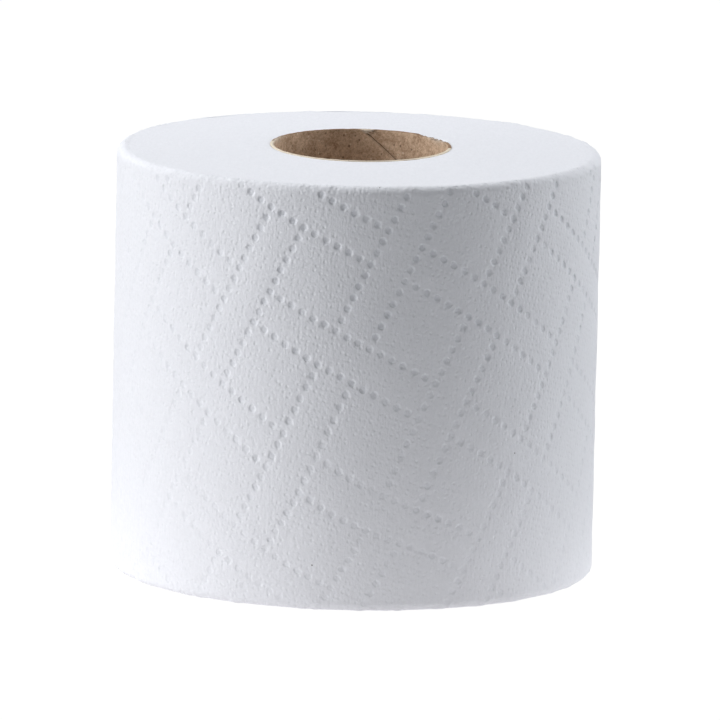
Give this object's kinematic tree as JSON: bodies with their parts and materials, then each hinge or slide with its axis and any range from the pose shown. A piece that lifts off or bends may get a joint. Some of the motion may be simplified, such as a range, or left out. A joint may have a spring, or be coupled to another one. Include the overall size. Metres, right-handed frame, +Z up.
{
  "type": "toilet paper roll",
  "caption": "Upright roll of white tissue wound on a cardboard core, embossed with woven bands of dotted lines.",
  "frame": {"origin": "centre of the core's bore at the bottom end of the roll", "axes": "+Z up along the core's bore to the top end, -Y towards the front that the picture shows, +X to the right in it"},
  "size_m": [0.1136, 0.1138, 0.1],
  "materials": {
    "tissue": "matt, soft, embossed tissue",
    "cardboard": "matt grey-brown recycled board"
  },
  "bodies": {
    "root": {"core": "cardboard", "paper_roll": "tissue"}
  },
  "joints": []
}
